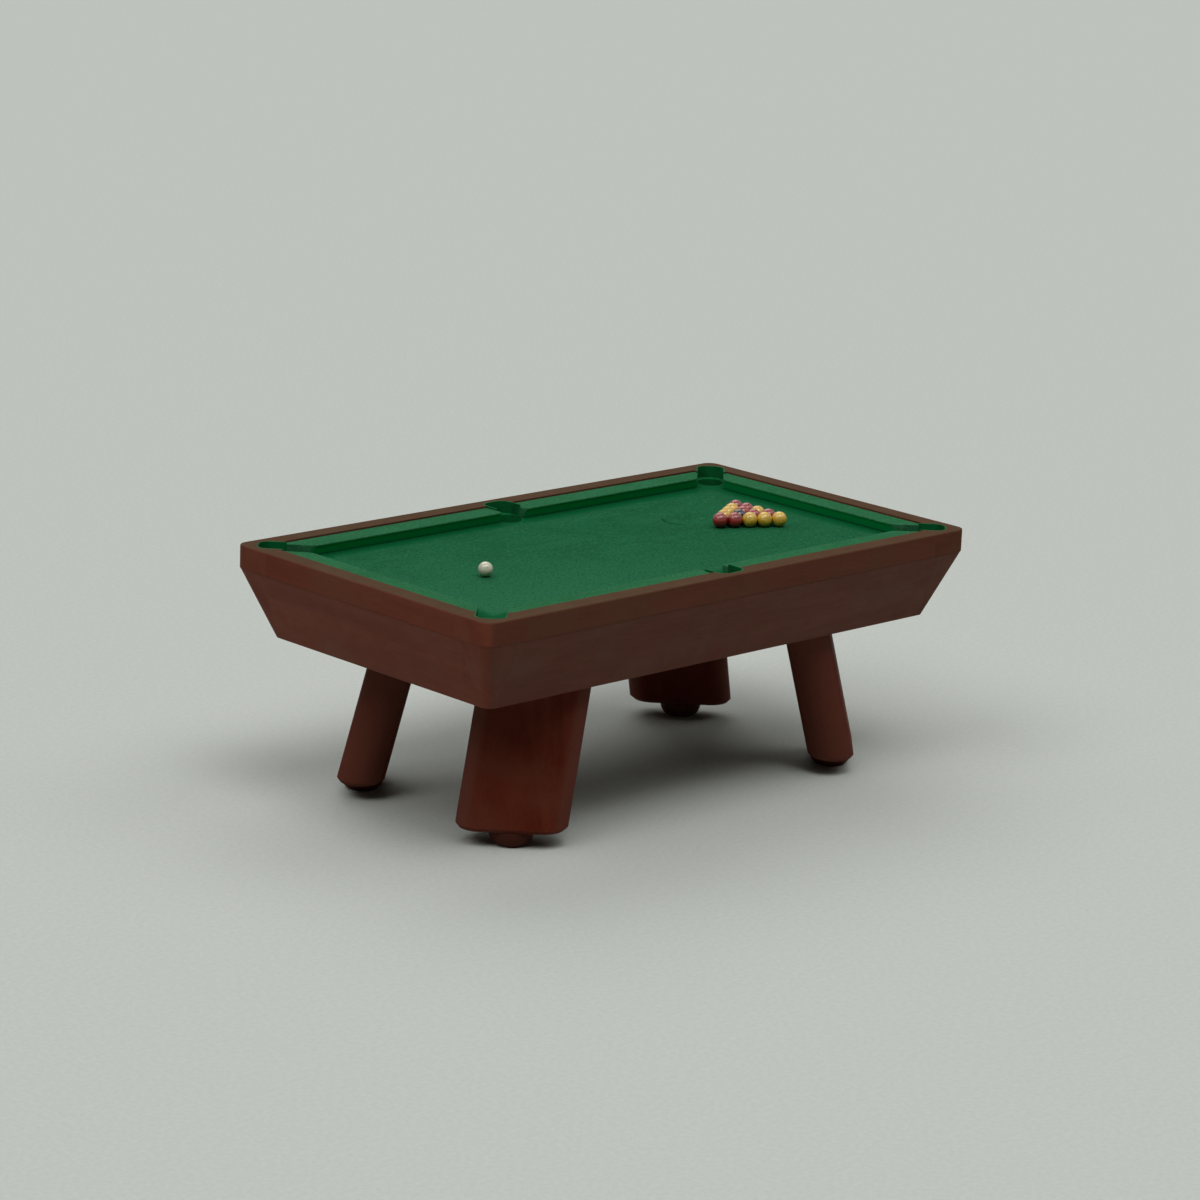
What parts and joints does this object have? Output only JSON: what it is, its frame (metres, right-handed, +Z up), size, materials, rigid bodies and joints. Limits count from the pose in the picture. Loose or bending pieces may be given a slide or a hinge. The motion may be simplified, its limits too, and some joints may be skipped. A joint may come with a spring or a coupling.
{
  "type": "pool table",
  "caption": "Bar-size pool table with tapered timber cabinet, splayed slab legs on levelling feet, cloth-covered slate bed, cushions, drop pockets and balls.",
  "frame": {"origin": "on the floor under the middle of the table", "axes": "+X along the length from the baulk end to the rack end, +Z up"},
  "size_m": [2.118, 1.203, 0.8151],
  "materials": {
    "rail_timber": "satin",
    "cabinet_timber": "satin",
    "leg_timber": "satin",
    "foot_timber": "satin",
    "frame_timber": "matte",
    "slate": "matte",
    "bed_cloth": "matte",
    "cushion_cloth": "matte",
    "pocket_lining": "matte",
    "steel": "satin",
    "ball_red": "gloss",
    "ball_yellow": "gloss",
    "ball_black": "gloss",
    "ball_white": "gloss"
  },
  "bodies": {
    "table": {"apron_baulk": "cabinet_timber", "apron_blocks": "frame_timber", "apron_corners": "cabinet_timber", "apron_left": "cabinet_timber", "apron_rack": "cabinet_timber", "apron_right": "cabinet_timber", "bed_cloth": "bed_cloth", "corner_pockets": "pocket_lining", "cross_beams": "frame_timber", "cushion_baulk": "cushion_cloth", "cushion_left_baulk": "cushion_cloth", "cushion_left_rack": "cushion_cloth", "cushion_rack": "cushion_cloth", "cushion_right_baulk": "cushion_cloth", "cushion_right_rack": "cushion_cloth", "end_beam_baulk": "frame_timber", "end_beam_rack": "frame_timber", "frame_bolts": "steel", "leg_baulk_left": "leg_timber", "leg_baulk_right": "leg_timber", "leg_bolts": "steel", "leg_plates": "steel", "leg_rack_left": "leg_timber", "leg_rack_right": "leg_timber", "leveller_bushes": "steel", "rail_baulk": "rail_timber", "rail_bolts": "steel", "rail_corners": "rail_timber", "rail_left": "rail_timber", "rail_rack": "rail_timber", "rail_right": "rail_timber", "side_beam_left": "frame_timber", "side_beam_right": "frame_timber", "side_pockets": "pocket_lining", "slate_bed": "slate", "slate_screws": "steel"},
    "leveller_baulk_left": {"foot_baulk_left": "foot_timber", "leveller_screw_baulk_left": "steel"},
    "leveller_baulk_right": {"foot_baulk_right": "foot_timber", "leveller_screw_baulk_right": "steel"},
    "leveller_rack_left": {"foot_rack_left": "foot_timber", "leveller_screw_rack_left": "steel"},
    "leveller_rack_right": {"foot_rack_right": "foot_timber", "leveller_screw_rack_right": "steel"},
    "cue_ball": {"cue_ball": "ball_white"},
    "ball_black": {"ball_black": "ball_black"},
    "ball_red_1": {"ball_red_1": "ball_red"},
    "ball_red_2": {"ball_red_2": "ball_red"},
    "ball_red_3": {"ball_red_3": "ball_red"},
    "ball_red_4": {"ball_red_4": "ball_red"},
    "ball_red_5": {"ball_red_5": "ball_red"},
    "ball_red_6": {"ball_red_6": "ball_red"},
    "ball_red_7": {"ball_red_7": "ball_red"},
    "ball_yellow_1": {"ball_yellow_1": "ball_yellow"},
    "ball_yellow_2": {"ball_yellow_2": "ball_yellow"},
    "ball_yellow_3": {"ball_yellow_3": "ball_yellow"},
    "ball_yellow_4": {"ball_yellow_4": "ball_yellow"},
    "ball_yellow_5": {"ball_yellow_5": "ball_yellow"},
    "ball_yellow_6": {"ball_yellow_6": "ball_yellow"},
    "ball_yellow_7": {"ball_yellow_7": "ball_yellow"}
  },
  "joints": [
    {"name": "leveller_baulk_left_travel", "type": "slide", "parent": "table", "child": "leveller_baulk_left", "axis": [0, 0, -1], "range_m": [0, 0.02]},
    {"name": "leveller_baulk_right_travel", "type": "slide", "parent": "table", "child": "leveller_baulk_right", "axis": [0, 0, -1], "range_m": [0, 0.02]},
    {"name": "leveller_rack_left_travel", "type": "slide", "parent": "table", "child": "leveller_rack_left", "axis": [0, 0, -1], "range_m": [0, 0.02]},
    {"name": "leveller_rack_right_travel", "type": "slide", "parent": "table", "child": "leveller_rack_right", "axis": [0, 0, -1], "range_m": [0, 0.02]},
    {"name": "cue_ball_roll", "type": "slide", "parent": "table", "child": "cue_ball", "axis": [1, 0, 0], "range_m": [-0.3, 1]},
    {"name": "ball_black_lift", "type": "slide", "parent": "table", "child": "ball_black", "axis": [0, 0, 1], "range_m": [0, 0.12]},
    {"name": "ball_red_1_lift", "type": "slide", "parent": "table", "child": "ball_red_1", "axis": [0, 0, 1], "range_m": [0, 0.12]},
    {"name": "ball_red_2_lift", "type": "slide", "parent": "table", "child": "ball_red_2", "axis": [0, 0, 1], "range_m": [0, 0.12]},
    {"name": "ball_red_3_lift", "type": "slide", "parent": "table", "child": "ball_red_3", "axis": [0, 0, 1], "range_m": [0, 0.12]},
    {"name": "ball_red_4_lift", "type": "slide", "parent": "table", "child": "ball_red_4", "axis": [0, 0, 1], "range_m": [0, 0.12]},
    {"name": "ball_red_5_lift", "type": "slide", "parent": "table", "child": "ball_red_5", "axis": [0, 0, 1], "range_m": [0, 0.12]},
    {"name": "ball_red_6_lift", "type": "slide", "parent": "table", "child": "ball_red_6", "axis": [0, 0, 1], "range_m": [0, 0.12]},
    {"name": "ball_red_7_lift", "type": "slide", "parent": "table", "child": "ball_red_7", "axis": [0, 0, 1], "range_m": [0, 0.12]},
    {"name": "ball_yellow_1_lift", "type": "slide", "parent": "table", "child": "ball_yellow_1", "axis": [0, 0, 1], "range_m": [0, 0.12]},
    {"name": "ball_yellow_2_lift", "type": "slide", "parent": "table", "child": "ball_yellow_2", "axis": [0, 0, 1], "range_m": [0, 0.12]},
    {"name": "ball_yellow_3_lift", "type": "slide", "parent": "table", "child": "ball_yellow_3", "axis": [0, 0, 1], "range_m": [0, 0.12]},
    {"name": "ball_yellow_4_lift", "type": "slide", "parent": "table", "child": "ball_yellow_4", "axis": [0, 0, 1], "range_m": [0, 0.12]},
    {"name": "ball_yellow_5_lift", "type": "slide", "parent": "table", "child": "ball_yellow_5", "axis": [0, 0, 1], "range_m": [0, 0.12]},
    {"name": "ball_yellow_6_lift", "type": "slide", "parent": "table", "child": "ball_yellow_6", "axis": [0, 0, 1], "range_m": [0, 0.12]},
    {"name": "ball_yellow_7_lift", "type": "slide", "parent": "table", "child": "ball_yellow_7", "axis": [0, 0, 1], "range_m": [0, 0.12]}
  ]
}
